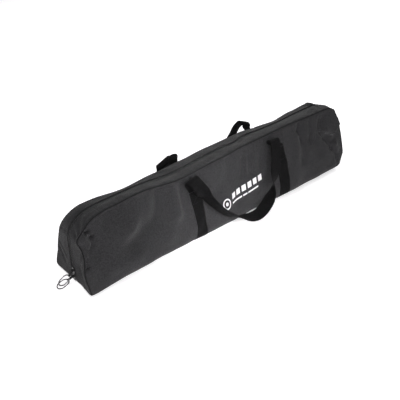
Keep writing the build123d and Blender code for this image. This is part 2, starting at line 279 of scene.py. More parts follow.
# Folds of the front panel: from (x, z) to (x, z), width, and height out of the face before
# fold_gain. A height below 0 is a crease.
front_folds = [
    (-0.488, 0.196, -0.470, 0.178, 0.0060, -0.011), (-0.470, 0.178, -0.460, 0.160, 0.0055, -0.007),
    (-0.460, 0.160, -0.466, 0.134, 0.0075, -0.006), (-0.482, 0.165, -0.478, 0.146, 0.012, 0.008),
    (-0.401, 0.176, -0.449, 0.120, 0.032, -0.011), (-0.312, 0.190, -0.360, 0.150, 0.032, 0.01),
    (-0.360, 0.150, -0.425, 0.126, 0.032, 0.009), (-0.352, 0.094, -0.290, 0.122, 0.03, -0.007),
    (-0.420, 0.060, -0.360, 0.050, 0.03, 0.006),
    (-0.359, 0.207, -0.370, 0.176, 0.0088, -0.005), (-0.370, 0.176, -0.380, 0.150, 0.0192, -0.003),
    (-0.328, 0.208, -0.337, 0.190, 0.0096, -0.004), (-0.345, 0.205, -0.352, 0.185, 0.0096, 0.0018),
    (-0.506, 0.091, -0.486, 0.088, 0.0045, -0.007), (-0.500, 0.118, -0.490, 0.102, 0.005, -0.004),
    (-0.495, 0.135, -0.492, 0.122, 0.006, 0.004),
    (-0.190, 0.192, -0.206, 0.127, 0.0224, 0.008), (-0.236, 0.190, -0.256, 0.130, 0.0288, -0.008),
    (-0.206, 0.127, -0.235, 0.080, 0.032, 0.005), (-0.275, 0.190, -0.290, 0.140, 0.0256, 0.004),
    (-0.165, 0.190, -0.172, 0.140, 0.016, -0.005),
    (-0.125, 0.211, -0.123, 0.190, 0.0096, -0.003), (-0.030, 0.185, -0.070, 0.150, 0.03, 0.006),
    (-0.060, 0.120, -0.090, 0.060, 0.032, -0.007), (0.020, 0.190, 0.010, 0.120, 0.0288, -0.003),
    (0.080, 0.176, 0.070, 0.136, 0.0104, -0.004), (0.104, 0.174, 0.098, 0.130, 0.0112, -0.0045),
    (0.150, 0.164, 0.142, 0.128, 0.0128, -0.004),
    (0.055, 0.120, 0.030, 0.070, 0.0224, -0.004), (0.300, 0.110, 0.290, 0.060, 0.032, 0.003),
    (0.333, 0.212, 0.326, 0.180, 0.0088, -0.004), (0.326, 0.180, 0.334, 0.150, 0.0096, -0.004),
    (0.334, 0.150, 0.320, 0.095, 0.0144, -0.0035), (0.350, 0.207, 0.356, 0.165, 0.0144, 0.0024),
    (0.405, 0.150, 0.445, 0.085, 0.006, -0.004), (0.445, 0.085, 0.487, 0.018, 0.006, -0.0035),
    (0.424, 0.150, 0.468, 0.078, 0.012, 0.003), (0.372, 0.140, 0.395, 0.095, 0.0192, -0.004),
    (0.466, 0.206, 0.486, 0.186, 0.0035, -0.005), (0.486, 0.186, 0.497, 0.180, 0.004, -0.003),
    (0.470, 0.200, 0.494, 0.168, 0.008, 0.003), (0.452, 0.120, 0.462, 0.100, 0.01, 0.003),
    (0.430, 0.126, 0.450, 0.112, 0.014, -0.007),
]
# Panes between creases: corners (x, z) anticlockwise, edge width, height at the low edge.
front_panes = [
    ([(0.408, 0.157), (0.452, 0.131), (0.492, 0.152), (0.470, 0.209), (0.440, 0.209)], 0.010, 0.018),
    ([(0.368, 0.128), (0.384, 0.140), (0.404, 0.205), (0.372, 0.214)], 0.009, 0.012),
]
back_panes = [
    ([(0.395, 0.140), (0.440, 0.120), (0.480, 0.150), (0.460, 0.205), (0.430, 0.205)], 0.008, 0.009),
    ([(-0.460, 0.140), (-0.430, 0.128), (-0.405, 0.160), (-0.430, 0.205), (-0.450, 0.190)], 0.008, 0.008),
]
back_folds = [
    (-0.420, 0.190, -0.400, 0.120, 0.014, -0.005), (-0.330, 0.200, -0.345, 0.150, 0.010, -0.004),
    (-0.470, 0.150, -0.430, 0.130, 0.016, 0.005), (-0.230, 0.205, -0.220, 0.150, 0.012, -0.004),
    (-0.060, 0.205, -0.050, 0.170, 0.009, -0.003), (0.020, 0.120, 0.090, 0.150, 0.030, 0.004),
    (0.100, 0.205, 0.110, 0.150, 0.011, -0.0035), (0.300, 0.205, 0.310, 0.130, 0.012, -0.004),
    (0.340, 0.200, 0.345, 0.150, 0.012, 0.004), (0.430, 0.200, 0.400, 0.140, 0.010, -0.006),
    (0.455, 0.170, 0.450, 0.150, 0.022, 0.006), (0.410, 0.130, 0.470, 0.050, 0.014, -0.003),
]


def panel_point(side, x, z, lift=0.0):
    """Point of the front (-1) or back (1) panel's outer face at x and height z of the flat pattern,
    moved out by lift: a leaning plane, with folds, puckers along the top seam, ripples and a turn
    down into the seam groove, then draped."""
    x, z = np.broadcast_arrays(np.asarray(x, float), np.asarray(z, float))
    inside = edge_distance(x, z)
    calm = ease(inside, 0.002, 0.022)
    out = fold_gain * strokes(x, z, front_folds if side < 0 else back_folds)
    out += facets(x, z, front_panes if side < 0 else back_panes)
    out *= ease(inside, 0.001, 0.010)
    out += ripples(x, z, 3 + side) * calm
    pucker = np.sin(x * 310 + 2.2 * np.sin(x * 47) + side) + 0.6 * np.sin(x * 173 + 1.7)
    out += 0.0005 * pucker * bump(height - z, 0.008, 0.014) * calm
    turn_down = np.clip(1 - (inside - groove) / groove_reach, 0, 1)
    out -= groove * turn_down ** 2
    out += lift
    reach = base_half - lean * z
    crisp = np.stack([x, side * (reach + face_cos * out), z + face_sin * out * ease(z, 0.0, 0.02)], -1)
    return drape(crisp)


def low_dense(length, count):
    """Runs from 0 to length, closer together over the round at the foot."""
    rolled = foot_side * (1 - np.cos(np.linspace(0, np.pi / 2, foot_rows)))
    return np.concatenate([rolled[:-1], np.linspace(foot_side, length, count - foot_rows + 1)])


def grid_mesh(name, grids, charts=None, ring=False, capped=False):
    """Object whose mesh has each grid of points (..., rows, columns, 3) as four-sided faces. charts
    gives each grid's places on the flat cloth, in metres, which become its UV map. A ring's last
    column joins its first, and capped closes its first and last rows."""
    corners, faces, places, first = [], [], [], 0
    for k, grid in enumerate(grids):
        index = first + np.arange(grid[..., 0].size).reshape(grid.shape[:-1])
        flat = charts[k] if charts is not None else grid[..., :2]
        if ring:
            index = np.concatenate([index, index[..., :1]], -1)
            if flat.shape[-2] == grid.shape[-2]:
                flat = np.concatenate([flat, flat[..., :1, :]], -2)
        around = [index[..., :-1, :-1], index[..., :-1, 1:], index[..., 1:, 1:], index[..., 1:, :-1]]
        faces += np.stack(around, -1).reshape(-1, 4).tolist()
        low, high = flat[..., :-1, :, :], flat[..., 1:, :, :]
        around = [low[..., :-1, :], low[..., 1:, :], high[..., 1:, :], high[..., :-1, :]]
        places.append(np.stack(around, -2).reshape(-1, 2))
        if capped:
            for end in (index[..., 0, -2::-1], index[..., -1, :-1]):
                faces += end.reshape(-1, end.shape[-1]).tolist()
                places.append(np.zeros((end.size, 2)))
        corners.append(grid.reshape(-1, 3))
        first += grid[..., 0].size
    mesh = bpy.data.meshes.new(name)
    mesh.from_pydata(np.concatenate(corners).tolist(), [], faces)
    layer = mesh.uv_layers.new(name="cut")
    layer.data.foreach_set("uv", np.concatenate(places).astype(np.float32).ravel())
    mesh.shade_smooth()
    made = bpy.data.objects.new(name, mesh)
    bpy.context.collection.objects.link(made)
    return made


def thicken(piece, thickness):
    """Gives a sheet its thickness, on the inside of its face."""
    wall = piece.modifiers.new("thickness", "SOLIDIFY")
    wall.thickness = thickness
    wall.offset = -1


def dress(piece, material):
    """Puts a material on a piece."""
    piece.data.materials.clear()
    piece.data.materials.append(material)


class Flow:
    """One number running through a material's nodes. Sums, differences and products add Math nodes."""

    def __init__(self, finish, socket):
        self.finish, self.socket = finish, socket

    def join(self, operation, first, second):
        return self.finish.node("ShaderNodeMath", {"operation": operation}, {0: first, 1: second})

    def __add__(self, other):
        return self.join("ADD", self, other)

    def __mul__(self, other):
        return self.join("MULTIPLY", self, other)

    def __sub__(self, other):
        return self.join("SUBTRACT", self, other)

    def __rsub__(self, other):
        return self.join("SUBTRACT", other, self)

    __radd__, __rmul__ = __add__, __mul__

    def sine(self):
        return self.join("SINE", self, 0)

    def above(self, level):
        return self.join("GREATER_THAN", self, level)


class Finish:
    """A material built node by node round one Principled shader."""

    def __init__(self, name, **fixed):
        self.material = bpy.data.materials.new(name)
        self.material.use_nodes = True
        self.tree = self.material.node_tree
        self.shader = self.tree.nodes["Principled BSDF"]
        for socket, value in fixed.items():
            self.shader.inputs[socket.replace("_", " ")].default_value = value

    def node(self, kind, settings, inputs, output=0):
        made = self.tree.nodes.new(kind)
        for key, value in settings.items():
            setattr(made, key, value)
        for key, value in inputs.items():
            if isinstance(value, Flow):
                self.tree.links.new(value.socket, made.inputs[key])
            else:
                made.inputs[key].default_value = value
        return Flow(self, made.outputs[output])

    def place(self):
        """Object coordinates, in metres."""
        return self.node("ShaderNodeTexCoord", {}, {}, "Object")

    def cut(self):
        """The two coordinates on the flat cloth, in metres."""
        chart = self.node("ShaderNodeUVMap", {"uv_map": "cut"}, {})
        split = self.node("ShaderNodeSeparateXYZ", {}, {0: chart})
        return split, Flow(self, split.socket.node.outputs[1])

    def noise(self, scale, detail=3.0):
        """Soft noise through the piece, with scale blots to the metre."""
        inputs = {"Vector": self.place(), "Scale": scale, "Detail": detail, "Roughness": 0.55}
        return self.node("ShaderNodeTexNoise", {}, inputs)

    def spread(self, flow, low, high, start, end):
        """A number that goes from start to end as flow goes from low to high."""
        return self.node("ShaderNodeMapRange", {}, {0: flow, 1: low, 2: high, 3: start, 4: end})

    def blend(self, share, first, second):
        """Colour that goes from first to second as share goes from 0 to 1."""
        settings = {"data_type": "RGBA"}
        return self.node("ShaderNodeMix", settings, {0: share, 6: first, 7: second}, 2)

    def relief(self, height_flow, distance, strength=1.0, under=None):
        """Bumps as high as distance, on top of the relief under them."""
        inputs = {"Height": height_flow, "Distance": distance, "Strength": strength}
        if under is not None:
            inputs["Normal"] = under
        return self.node("ShaderNodeBump", {}, inputs)

    def drive(self, **inputs):
        """Runs a flow into each of the shader's sockets that changes over the surface."""
        for socket, flow in inputs.items():
            self.tree.links.new(flow.socket, self.shader.inputs[socket.replace("_", " ")])
        return self.material


def grey(level, blue=1.04):
    """A near-neutral colour, a little cool, and a shade short of green."""
    return (level, level * 0.975, level * blue, 1.0)


weave_pitch = 0.0011    # two threads of the cloth


def woven_cloth(name, dark, light):
    """Coated plain-weave polyester between two greys: threads over and under at the pitch, slubs
    along both thread directions, and soft patches where handling has polished or dusted it."""
    finish = Finish(name, Specular_IOR_Level=0.15, Sheen_Weight=0.06, Sheen_Roughness=0.5)
    u, v = finish.cut()
    warp, weft = (u * (2 * np.pi / weave_pitch)).sine(), (v * (2 * np.pi / weave_pitch)).sine()
    threads = warp * weft
    slub = finish.noise(900, 2.0)
    patches = finish.noise(14, 4.0)
    fine = finish.noise(300, 2.0)
    tone = threads * 0.12 + slub * 0.60 + patches * 0.35 + fine * 1.10 - 0.12
    shade = finish.spread(tone, 0.50, 1.10, 0.0, 1.0)
    weave = finish.relief(threads + slub * 0.8, 0.00022, 0.55)
    return finish.drive(
        Base_Color=finish.blend(shade, grey(dark), grey(light)),
        Normal=finish.relief(fine, 0.0012, 0.35, weave),
        Roughness=finish.spread(patches, 0.3, 0.7, 0.75, 0.90),
    )


panel_cloth = woven_cloth("side_cloth", 0.009, 0.033)


def side_panel(side, name):
    """The panel's grid: rows up the outline's end, each drawn across to the other end."""
    run = low_dense(straight_rise + corner_run, 92)[:, None]
    share = np.linspace(-1, 1, 401)[None, :]
    half, rise = inset_edge(run, groove)
    x, z = share * half, rise + 0 * share
    grid = panel_point(side, x, z)
    chart = np.stack([x, z], -1)
    if side > 0:
        grid, chart = grid[:, ::-1], chart[:, ::-1]
    piece = grid_mesh(f"{name}_panel_cloth", [grid], [chart])
    thicken(piece, wall_sheet)
    dress(piece, panel_cloth)
    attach(piece, "shell")
    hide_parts(f"{name}_panel")


sides = ((-1, "front"), (1, "back"))
for side, name in sides:
    side_panel(side, name)


# ---- gusset -------------------------------------------------------------------------------
# The band that runs up each end and over the top, in a front and a back strip with the zipper
# between them. Its ends are fixed to the walls; its top strips, which turn back as flaps when
# unzipped, are set in place as they lie shut.
fold_depth = 0.0012     # the turned edge's height above the tape
flap_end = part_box("top_flap_front")[1][0]
flap_turn = 0.15        # length over which a flap's end twists from shut to open
gusset_sheet = 0.0007   # thickness of the gusset's cloth
pivot = {joint["name"]: joint.get("pos_m") for joint in frame["joints"]}
hinge = {-1: pivot["front_flap_hinge"], 1: pivot["back_flap_hinge"]}
seam_clear = 0.034      # from the middle line: where the ramp that seat works out across a strip starts
turned_clear = 0.009    # and where that ramp ends, nearer the zipper

end_run = straight_rise + corner_run + (half_length - corner_radius - flap_end)
# Lengths of the band, as runs from its left foot to its right one.
zones = {
    "left_end": (0.0, end_run), "left_turn": (end_run, end_run + flap_turn),
    "middle": (end_run + flap_turn, band_length - end_run - flap_turn),
    "right_turn": (band_length - end_run - flap_turn, band_length - end_run),
    "right_end": (band_length - end_run, band_length),
}


def band(s):
    """x, z and the outward direction at run s along the band, from the left foot over the top."""
    near = np.minimum(s, band_length - s)
    sign = np.where(s < band_length / 2, -1.0, 1.0)
    turn = np.clip((near - straight_rise) / corner_radius, 0, np.pi / 2)
    beyond = np.maximum(near - straight_rise - corner_run, 0)
    x = sign * (half_length - corner_radius + corner_radius * np.cos(turn) - beyond)
    z = np.minimum(near, straight_rise) + corner_radius * np.sin(turn)
    return x, z, sign * np.cos(turn), np.sin(turn)


# Folds of the gusset: from (run, y) to (run, y), width, and height out of the face.
gusset_folds = [
    (0.120, -0.060, 0.075, -0.040, 0.006, -0.003), (0.150, -0.052, 0.172, -0.020, 0.007, -0.004),
    (0.182, -0.044, 0.205, -0.018, 0.006, -0.0035), (0.205, -0.046, 0.222, -0.024, 0.006, 0.003),
    (0.168, -0.058, 0.178, -0.050, 0.008, -0.005), (0.196, -0.056, 0.240, -0.046, 0.007, 0.005),
    (0.150, 0.060, 0.162, 0.018, 0.006, -0.004), (0.105, 0.075, 0.070, 0.025, 0.005, -0.003),
    (0.085, 0.082, 0.040, 0.040, 0.005, -0.0028), (0.060, -0.030, 0.020, -0.062, 0.010, -0.002),
    (0.300, -0.030, 0.340, -0.022, 0.010, 0.0015), (0.250, -0.018, 0.300, -0.014, 0.004, -0.001),
    (0.640, -0.040, 0.700, -0.018, 0.008, -0.0015), (0.780, -0.020, 0.840, -0.014, 0.004, -0.001),
    (1.060, -0.044, 1.085, -0.028, 0.006, -0.003), (1.100, -0.046, 1.112, -0.020, 0.006, -0.0035),
    (1.080, -0.030, 1.100, -0.010, 0.010, 0.004), (1.130, 0.040, 1.120, 0.012, 0.010, 0.006),
    (1.150, -0.040, 1.170, -0.020, 0.007, -0.004), (1.190, -0.052, 1.180, -0.015, 0.008, -0.004),
    (1.230, -0.060, 1.270, -0.030, 0.010, -0.003), (1.240, 0.060, 1.280, 0.020, 0.010, -0.003),
    (1.170, 0.045, 1.200, 0.020, 0.007, -0.004), (0.500, 0.034, 0.560, 0.020, 0.008, 0.002),
]


def gusset_point(side, s, d, lift=0.0):
    """Point of the gusset's outer face at run s, at distance d across from its side seam: the band,
    puffed between seam and zipper, with folds and a turn down into the seam groove."""
    s, d = np.broadcast_arrays(np.asarray(s, float), np.asarray(d, float))
    x, z, nx, nz = band(s)
    width = base_half - lean * z
    y = width - d
    room = ease(np.minimum(d - groove, y - 0.005), 0, 0.012)
    out = (strokes(s, side * y, gusset_folds) + 0.8 * ripples(s, side * y, 11 + side)) * room
    out += 0.0016 * np.sin(np.pi * np.clip((d - groove) / width, 0, 1)) * nz
    pucker = np.sin(s * 290 + 2.0 * np.sin(s * 41) + side)
    out += 0.0004 * pucker * bump(d, 0.009, 0.006)
    out -= groove * np.clip(1 - (d - groove) / groove_reach, 0, 1) ** 2
    out += lift
    return drape(np.stack([x + nx * out, side * y, z + nz * out], -1))


def seat(piece, side, zone):
    """Fixes an end zone's piece to the walls, and bakes a top zone's piece in place as it lies shut."""
    if zone.endswith("end"):
        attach(piece, "shell")
        return
    level = hinge[side][2]
    across = np.array([0.0, -side / (seam_clear - turned_clear), 0.0])
    start = np.array([0.0, side * seam_clear, level])
    if zone != "middle":
        end = -1 if zone.startswith("left") else 1
        across[0] = -end / flap_turn
        start[0] = end * (flap_end - flap_turn)
    tuple(start + across / (across @ across))
    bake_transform(piece)


def slot_half(s):
    """Half of the zipper tape that shows at run s: wider where the sliders run."""
    return 0.0060 - 0.0014 * ease(s, 0.145, 0.175)


def zone_runs(zone, step):
    """Evenly spaced runs from one end of a zone to the other."""
    start, end = zones[zone]
    if zone == "left_end":
        return low_dense(end, int(end / step) + 12)
    if zone == "right_end":
        return band_length - low_dense(end - start, int((end - start) / step) + 12)[::-1]
    return np.linspace(start, end, int((end - start) / step) + 2)


gusset_cloth = woven_cloth("gusset_cloth", 0.006, 0.024)


def gusset_strip(side, name, zone):
    """The strip's grid: from the seam groove across to the slot, down at the folded edge, and a
    little way back under it."""
    s = zone_runs(zone, 0.0028)[:, None]
    share = np.linspace(0, 1, 26)[None, :]
    width = base_half - lean * band(s)[1]
    slot = slot_half(s)
    d = groove + share * (width - slot - groove)
    outer = gusset_point(side, s, d)
    edge = gusset_point(side, s[:, 0], (width - slot)[:, 0], -fold_depth)
    turned = gusset_point(side, s[:, 0], (width - slot)[:, 0] - 0.004, -fold_depth - 0.0002)
    grid = np.concatenate([outer, edge[:, None], turned[:, None]], 1)
    chart_d = np.concatenate([d, d[:, -1:] + 0.001, d[:, -1:] + 0.005], 1)
    chart = np.stack([s + 0 * chart_d, chart_d], -1)
    if side < 0:
        grid, chart = grid[:, ::-1], chart[:, ::-1]
    made = grid_mesh(f"{name}_gusset_{zone}", [grid], [chart])
    thicken(made, gusset_sheet)
    dress(made, gusset_cloth)
    seat(made, side, zone)
    node = f"top_flap_{name}" if zone == "middle" else f"{zone}_{name}"
    if not zone.endswith("turn"):
        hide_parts(node)


for side, name in sides:
    for zone in zones:
        gusset_strip(side, name, zone)


# ---- bottom panel -------------------------------------------------------------------------
# The underside, of doubled cloth. It runs out to where the walls roll under, and between the
# straps it hangs just clear of what the case stands on.
base_sheet = 0.0024     # thickness of the doubled cloth
base_clear = 0.0022     # its lower face above what the case stands on


def bottom_panel():
    """A level sheet with a faint ripple, turned down to the walls' foot along its rim."""
    x = np.linspace(-half_length, half_length, 240)[:, None]
    share = np.linspace(-1, 1, 60)[None, :]
    grid = drape(np.stack(np.broadcast_arrays(x, share * base_half, 0.0), -1))
    rim = np.minimum((1 - np.abs(share)) * base_half, half_length - np.abs(x))
    sag = base_clear + 0.0008 * np.abs(ripples(x, share * base_half, 5)) / 0.001
    grid[..., 2] = sag * ease(rim, 0.002, 0.022)
    chart = np.stack(np.broadcast_arrays(x, share * base_half), -1)
    piece = grid_mesh("bottom_cloth", [grid], [chart])
    thicken(piece, base_sheet)
    dress(piece, panel_cloth)
    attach(piece, "shell")
    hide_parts("bottom_panel")


bottom_panel()


# ---- seams --------------------------------------------------------------------------------
# Where wall and gusset meet, the turned edges lie in a groove. A thin near-black cord along its
# bottom is painted shade: it stands in for the dark shadow line of the seam.
seam_shade = Finish("painted_seam_shadow", Specular_IOR_Level=0.15)
seam_shade.drive(
    Base_Color=seam_shade.blend(seam_shade.noise(900), grey(0.003), grey(0.008)),
    Roughness=seam_shade.noise(300) * 0.2 + 0.75,
    Normal=seam_shade.relief(seam_shade.noise(1200), 0.0003),
)
seam_radius = 0.0011


def tube(path, radius, around=8):
    """Rings of corners square to a path: at each point, a circle in the plane of the level direction
    across the path and the one square to both."""
    along = np.gradient(path, axis=0)
    along /= np.linalg.norm(along, axis=1, keepdims=True)
    across = np.array([0.0, 1.0, 0.0]) - along * along[:, 1:2]
    across /= np.linalg.norm(across, axis=1, keepdims=True)
    out = np.cross(along, across)
    turn = np.linspace(0, 2 * np.pi, around, endpoint=False)[None, :, None]
    return path[:, None] + radius * (across[:, None] * np.cos(turn) + out[:, None] * np.sin(turn))


def seam_shadow_cord(side, name):
    """The near-black cord of painted seam shade along one seam from foot to foot, stopped short of them and
    kept above 0.
    """
    s = np.concatenate([zone_runs(zone, 0.004)[:-1] for zone in zones])
    s = s[(s > 0.004) & (s < band_length - 0.004)]
    grid = tube(gusset_point(side, s, groove + 0 * s), seam_radius)
    grid[..., 2] = np.maximum(grid[..., 2], 0)
    made = grid_mesh(f"{name}_seam_shadow_cord", [grid], ring=True, capped=True)
    dress(made, seam_shade.material)
    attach(made, "shell")


for side, name in sides:
    seam_shadow_cord(side, name)


# ---- zipper -------------------------------------------------------------------------------
# A nylon coil zipper, sewn under the folded edges of the gusset with its tapes outwards. The
# loops of both coils lock along the middle line.
tape_depth = 0.0027     # the tape's face below the gusset's
loop_pitch = 0.0022
loop_half = 0.0026      # half of the closed chain
chain_start = 0.009     # the chain stops this far from either foot
tape_sheet = 0.0007     # thickness of the tape
tape_weave = Finish("zipper_tape", Specular_IOR_Level=0.25, Sheen_Weight=0.15)
tape_u, tape_v = tape_weave.cut()
ribs = (tape_v * (2 * np.pi / 0.0014)).sine() * 0.6 + (tape_u * (2 * np.pi / 0.0009)).sine() * 0.4
tape_face = tape_weave.blend(ribs * 0.3 + tape_weave.noise(500) * 0.9, grey(0.010), grey(0.024))
tape_weave.drive(
    # Painted shade: the tape goes near black along its outer rim, beside and under the gusset's folded
    # edge, for the shadow in the groove.
    Base_Color=tape_weave.blend(tape_v.above(0.0036), tape_face, grey(0.002)),
    Roughness=tape_weave.noise(300) * 0.15 + 0.70,
    Normal=tape_weave.relief(ribs, 0.0002, 0.7),
)
nylon = Finish("zipper_coil", Specular_IOR_Level=0.5)
nylon.drive(
    Base_Color=nylon.blend(nylon.noise(400), grey(0.012), grey(0.020)),
    Roughness=nylon.noise(700) * 0.15 + 0.35,
    Normal=nylon.relief(nylon.noise(2500), 0.00005),
)


def slot_point(side, s, y, lift):
    """Point of the zipper at run s and distance y from its middle line, lifted from the gusset's
    face."""
    s, y, lift = np.broadcast_arrays(s, y, lift)
    x, z, nx, nz = band(s)
    return drape(np.stack([x + nx * lift, side * y, z + nz * lift], -1))


def zipper_node(zone, kind, name):
    """Name of the CAD node that a zone's tape or coil stands for."""
    return f"top_{kind}_{name}" if zone == "middle" else f"{zone[:-4]}_{kind}_{name}"


def tape_strip(side, name, zone):
    """The tape's grid: from beside the middle line out to under the gusset's folded edge."""
    s = zone_runs(zone, 0.004)[:, None]
    y = (0.0011 + np.linspace(0, 1, 6)[None, :] * (slot_half(s) + 0.0022))[:, ::-side]
    grid = slot_point(side, s, y, -tape_depth)
    made = grid_mesh(f"{name}_tape_{zone}", [grid], [np.stack(np.broadcast_arrays(s, y), -1)])
    thicken(made, tape_sheet)
    dress(made, tape_weave.material)
    seat(made, side, zone)
    if not zone.endswith("turn"):
        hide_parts(zipper_node(zone, "tape", name))


def coil_strip(side, name, zone):
    """Loops of one coil: each a short bar from just past the middle line out to the tape, with a
    six-cornered section that is fullest at the middle."""
    start, end = zones[zone]
    start, end = max(start, chain_start), min(end, band_length - chain_start)
    first = np.ceil(start / loop_pitch) + (0.25 if side < 0 else -0.25)
    at = np.arange(first, end / loop_pitch - 0.3) * loop_pitch
    turn = np.linspace(0, 2 * np.pi, 6, endpoint=False) * -side
    reach = np.array([-0.0005, 0.0002, 0.0019, loop_half])[:, None]
    swell = np.array([0.45, 1.0, 0.85, 0.35])[:, None]
    s = at[:, None, None] + loop_pitch * 0.27 * swell * np.cos(turn)
    lift = -tape_depth + 0.0002 + 0.0008 * swell * np.sin(turn)
    made = grid_mesh(f"{name}_coil_{zone}", [slot_point(side, s, reach, lift)], ring=True, capped=True)
    dress(made, nylon.material)
    seat(made, side, zone)
    if not zone.endswith("turn"):
        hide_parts(zipper_node(zone, "coil", name))


for side, name in sides:
    for zone in zones:
        tape_strip(side, name, zone)
        coil_strip(side, name, zone)


# ---- stitching on the gusset --------------------------------------------------------------
# One row of lockstitch in black thread holds each folded edge of the gusset to the tape.
stitch_pitch, stitch_length = 0.0034, 0.0026
thread_half, thread_rise = 0.00030, 0.00050
row_start = 0.02        # the rows stop this far from either foot
row_inset = 0.0024      # and lie this far in from the folded edge
thread = Finish("sewing_thread", Specular_IOR_Level=0.12, Sheen_Weight=0.03)
thread.drive(
    Base_Color=thread.blend(thread.noise(600), grey(0.005), grey(0.012)),
    Roughness=thread.noise(900) * 0.2 + 0.5,
    Normal=thread.relief(thread.noise(3000), 0.00008),
)


def stitch_row(place, start, end):
    """Stitches in a row from start to end on the flat cloth, carried by place(u, v, lift): each is a
    low ridge of thread that rises from one needle hole and sinks into the next."""
    start, end = np.array(start, float), np.array(end, float)
    span = np.linalg.norm(end - start)
    ahead = (end - start) / span
    count = int(span / stitch_pitch)
    at = (np.arange(count) + 0.5) * span / count - stitch_length / 2
    station = np.array([0, 0.2, 0.8, 1])[:, None] * stitch_length
    swell = np.array([0.35, 1, 1, 0.35])[:, None]
    around = np.radians([210, 150, 90, 30, -30])
    run = at[:, None, None] + station
    beside = thread_half * swell * np.cos(around)
    lift = thread_rise * (swell * (0.5 + 0.5 * np.sin(around)) - 0.35 * (1 - swell))
    u = start[0] + ahead[0] * run - ahead[1] * beside
    v = start[1] + ahead[1] * run + ahead[0] * beside
    return place(u, v, lift)


def zipper_stitches(side, name, zone):
    """A zone's row of stitches, run along beside the slot."""
    start, end = zones[zone]
    start, end = max(start, row_start), min(end, band_length - row_start)

    def beside_slot(s, off, lift):
        width = base_half - lean * band(s)[1]
        return gusset_point(side, s, width - slot_half(s) - row_inset + off, lift)

    row = stitch_row(beside_slot, (start, 0), (end, 0))
    if side < 0:
        row = row[..., ::-1, :]
    made = grid_mesh(f"{name}_zipper_stitches_{zone}", [row], ring=True, capped=True)
    dress(made, thread.material)
    seat(made, side, zone)


for side, name in sides:
    for zone in zones:
        zipper_stitches(side, name, zone)


# ---- straps -------------------------------------------------------------------------------
# Two loops of polypropylene webbing run under the case and up both walls, sewn down along both
# edges as far as a crossed box of stitches below each handle.
web_half, web_thick = 0.020, 0.0016
strap_x = {"left": -0.122, "right": 0.225}
stitched_z = 0.165      # the sewn part ends at this height
web_lift = 0.0018       # the webbing's face above the wall's
under_sheet = 0.0014    # thickness of the webbing pressed flat under the case
webbing = Finish("webbing", Specular_IOR_Level=0.035, Sheen_Weight=0.01, Sheen_Roughness=0.4)
web_u, web_v = webbing.cut()
ridge = (web_u * (2 * np.pi / 0.0026)).sine()
pick = (web_v * (2 * np.pi / 0.0019) + ridge * 1.3).sine()
web_tone = webbing.noise(60, 3.0) * 0.8 + pick * 0.12 + webbing.noise(1300) * 0.4
webbing.drive(
    Base_Color=webbing.blend(web_tone, grey(0.002), grey(0.0095)),
    Roughness=webbing.noise(200) * 0.16 + 0.60,
    Normal=webbing.relief(pick + ridge * 0.4 + webbing.noise(1500) * 0.5, 0.00035, 0.8),
)


def side_strap(side, name, end):
    """The sewn part of a strap: the wall's own surface, lifted, from its foot to below the handle."""
    rows = low_dense(stitched_z - 0.002, 60)[:, None]
    across = np.linspace(-web_half, web_half, 13)[None, :] * (1 if side < 0 else -1)
    grid = panel_point(side, strap_x[end] + across, rows, web_lift)
    made = grid_mesh(f"{end}_{name}_strap", [grid], [np.stack(np.broadcast_arrays(across, rows), -1)])
    thicken(made, web_thick)
    dress(made, webbing.material)
    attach(made, "shell")


def under_strap(end):
    """The part of a strap under the case: a level sheet that the case stands on, facing down."""
    share = np.linspace(-1, 1, 60)[:, None]
    x = strap_x[end] + np.linspace(-web_half, web_half, 13)[None, :]
    grid = drape(np.stack(np.broadcast_arrays(x, share * (base_half + 0.001), 0.0), -1))
    grid[..., 2] = 0.0002
    chart = np.stack(np.broadcast_arrays(x, share * base_half), -1)
    made = grid_mesh(f"{end}_under_strap", [grid], [chart])
    made.data.flip_normals()
    thicken(made, under_sheet)
    dress(made, webbing.material)
    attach(made, "shell")
    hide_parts(f"{end}_strap_under")


def strap_stitches(side, name, end):
    """A strap's two edge rows, and the crossed box at their top."""
    edge, low, high = web_half - 0.0022, stitched_z - 0.036, stitched_z - 0.004

    def on_strap(u, v, lift):
        return panel_point(side, strap_x[end] + u, v, web_lift + lift)

    ends = [
        ((-edge, 0.012), (-edge, high)), ((edge, 0.012), (edge, high)), ((-edge, low), (edge, low)),
        ((-edge, high), (edge, high)), ((-edge, low), (edge, high)), ((-edge, high), (edge, low)),
    ]
    rows = [stitch_row(on_strap, *pair) for pair in ends]
    if side < 0:
        rows = [row[..., ::-1, :] for row in rows]
    made = grid_mesh(f"{end}_{name}_strap_stitches", rows, ring=True, capped=True)
    dress(made, thread.material)
    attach(made, "shell")


for end in strap_x:
    under_strap(end)
    for side, name in sides:
        side_strap(side, name, end)
        strap_stitches(side, name, end)


# ---- handles ------------------------------------------------------------------------------
# Above its stitching each strap stands free, rolls over and goes on as the leg of a handle. The
# fold is the handle's hinge. Each handle is one length of webbing, turned edge-on where it hangs.
tilt = np.radians(19.4)     # a hanging handle leans out this far from upright
rolls = {(-1, "left"): 0.0075, (-1, "right"): 0.0090, (1, "left"): 0.0070, (1, "right"): 0.0085}
blend_reach = 0.008     # a distance out from the hinge, at which handle_fold works out a point
loop_out = 0.016        # the loop's middle hangs this far out from the hinge
waver = 0.10            # radians that the loop's twist wanders by
followed_z = 0.198      # below this the free strip still leans as the wall does
handle_joint = {-1: pivot["front_handle_hinge"], 1: pivot["back_handle_hinge"]}
# Each fold's tilt in degrees, and where it lies: along the case and down from the strap's own.
slants = {(-1, "left"): 14, (-1, "right"): -5, (1, "left"): 30, (1, "right"): -26}
fold_shift = {
    (-1, "left"): (-0.013, 0.0), (-1, "right"): (-0.026, -0.012),
    (1, "left"): (0.0, 0.040), (1, "right"): (-0.008, 0.014),
}
